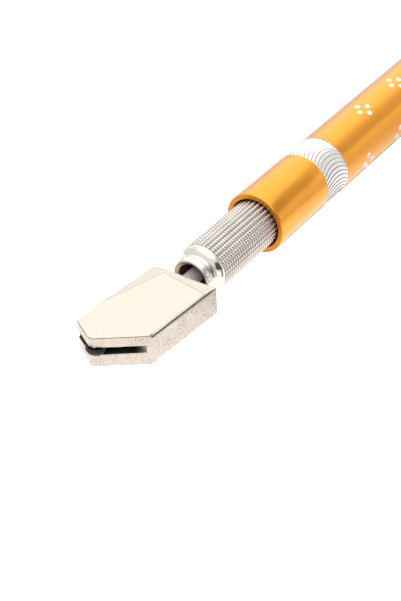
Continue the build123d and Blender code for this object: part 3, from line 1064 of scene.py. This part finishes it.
def studio_world():
    """Bright overhead, dimmer low down, a soft grey card on the right and a dark near side."""
    world = bpy.data.worlds.new("studio")
    bpy.context.scene.world = world
    world.use_nodes = True
    tree = Nodes(world.node_tree)
    direction = tree.add("ShaderNodeTexCoord").outputs["Generated"]
    height = tree.add("ShaderNodeSeparateXYZ", {0: direction}).outputs["Z"]

    def facing(azimuth, start, full):
        """From 0 to 1 as the direction turns towards an azimuth."""
        inputs = {0: direction, 1: toward(azimuth)}
        dot = tree.add("ShaderNodeVectorMath", inputs, operation="DOT_PRODUCT").outputs["Value"]
        return tree.ranged(dot, start, full, kind="SMOOTHSTEP")

    def between(low, low_full, high_full, high):
        """1 between two heights, with soft edges."""
        rise = tree.ranged(height, low, low_full, kind="SMOOTHSTEP")
        return tree.product(rise, tree.ranged(height, high_full, high, 1.0, 0.0, "SMOOTHSTEP"))

    dome = tree.ranged(height, 0.0, 0.5, 0.9, 1.0)
    softbox = tree.maths("MAXIMUM", facing(SOFTBOX_AZIMUTH, 0.42, 0.64), tree.ranged(height, 0.7, 0.8))
    softbox = tree.product(softbox, tree.ranged(height, 0.05, 0.3))
    bright = tree.ranged(softbox, 0.0, 1.0, 1.0, SOFTBOX)
    card = tree.product(between(0.22, 0.42, 0.6, 0.76), facing(CARD_AZIMUTH, 0.45, 0.75), CARD_SHADE)
    near = between(-0.3, -0.1, 0.52, 0.68)
    near_side = tree.product(near, facing(NEAR_SIDE, 0.76, 0.88), NEAR_SHADE)
    light = tree.product(
        dome,
        bright,
        tree.maths("SUBTRACT", 1.0, card),
        tree.maths("SUBTRACT", 1.0, near_side),
    )
    seen = tree.add("ShaderNodeLightPath").outputs["Is Camera Ray"]
    shown = tree.mixed(seen, light, SHOWN_WHITE)
    tree.tree.links.new(shown, tree.tree.nodes["Background"].inputs["Color"])


def studio():
    """A white floor, shaded in reflections beside the neck and under the handle, and its world."""
    scene = bpy.context.scene
    scene.view_settings.view_transform = "Standard"
    mesh = bpy.data.meshes.new("floor")
    corners = [(FLOOR_SPAN * x, FLOOR_SPAN * y, 0) for x, y in ((-1, -1), (1, -1), (1, 1), (-1, 1))]
    mesh.from_pydata(corners, [], [(0, 1, 2, 3)])
    floor = bpy.data.objects.new("floor", mesh)
    scene.collection.objects.link(floor)
    tree = Finish("floor_white")
    grey = (FLOOR_ALBEDO, FLOOR_ALBEDO, FLOOR_ALBEDO, 1)
    paper = tree.mixed(tree.noise(30.0), grey, tuple(0.98 * part for part in grey))

    here = place(FLAG_CENTRE, 0, 0) * Vector((1, 1, 0))
    away = tree.add("ShaderNodeVectorMath", {0: tree.place, 1: here}, operation="SUBTRACT")
    distance = tree.add("ShaderNodeVectorMath", {0: away.outputs[0]}, operation="LENGTH")
    unit = tree.add("ShaderNodeVectorMath", {0: away.outputs[0]}, operation="NORMALIZE")
    inputs = {0: unit.outputs[0], 1: toward(FLAG_AZIMUTH)}
    dot = tree.add("ShaderNodeVectorMath", inputs, operation="DOT_PRODUCT").outputs["Value"]
    far = tree.ranged(distance.outputs["Value"], *FAR_RANGE, kind="SMOOTHSTEP")
    beyond = tree.ranged(distance.outputs["Value"], *FLAG_RANGE, kind="SMOOTHSTEP")
    flag = tree.product(tree.ranged(dot, 0.97, 0.995), beyond, FLAG_SHADE)
    # A painted shadow under the handle, in the floor's glow, seen only in reflections.
    spot = tree.add("ShaderNodeSeparateXYZ", {0: tree.place}).outputs
    aside = tree.maths("ABSOLUTE", spot["Y"], 0.0)
    beside = tree.ranged(aside, *UNDER_HALF_WIDTH, UNDER_SHADE, 0.0, "SMOOTHSTEP")
    behind = tree.ranged(spot["X"], RIM_X - 2 * MM, RIM_X + 4 * MM)
    ahead = tree.ranged(spot["X"], tube_high.x - 4 * MM, tube_high.x, 1.0, 0.0)
    under = tree.product(beside, behind, ahead)
    seen = tree.add("ShaderNodeLightPath").outputs["Is Camera Ray"]
    dimmed = tree.product(
        tree.ranged(far, 0.0, 1.0, FLOOR_GLOW, FAR_GLOW),
        tree.maths("SUBTRACT", 1.0, flag),
        tree.maths("SUBTRACT", 1.0, under),
    )
    shown = {0: seen, 2: dimmed, 3: FLOOR_GLOW}
    glow = tree.add("ShaderNodeMix", shown, data_type="FLOAT").outputs[0]
    mesh.materials.append(
        tree.finish(
            Base_Color=paper,
            Roughness=0.9,
            Specular_IOR_Level=0.0,
            Emission_Color=(1, 1, 1, 1),
            Emission_Strength=glow,
        )
    )
    studio_world()


VIEW_HEADING = 37.24
VIEW_DROP = 36.45
VIEW_ROLL = -3.62
VIEW_DISTANCE = 0.2807
TARGET_FROM_NOSE = 0.02303
TARGET_Y = -0.00541
LENS = 92.2


def camera():
    """A long lens from above the wheel's right, aimed between the head and the collar."""
    low, _ = cad_box
    target = Vector((low[0] + TARGET_FROM_NOSE, TARGET_Y, AXIS_Z))
    heading, drop = math.radians(VIEW_HEADING), math.radians(VIEW_DROP)
    forward = Vector(
        (math.cos(heading) * math.cos(drop), math.sin(heading) * math.cos(drop), -math.sin(drop))
    )
    data = bpy.data.cameras.new("camera")
    data.lens = LENS
    data.clip_start = 0.01
    made = bpy.data.objects.new("camera", data)
    made.location = target - forward * VIEW_DISTANCE
    turn = forward.to_track_quat("-Z", "Y").to_matrix().to_4x4()
    roll = Vector((0, 0, 1))
    made.rotation_euler = (turn @ Matrix.Rotation(math.radians(VIEW_ROLL), 4, roll)).to_euler()
    bpy.context.scene.collection.objects.link(made)
    bpy.context.scene.camera = made


handle_tube()
knurled_collar()
return_spring()
filler_cap()
head_block()
dress_all()
studio()
camera()
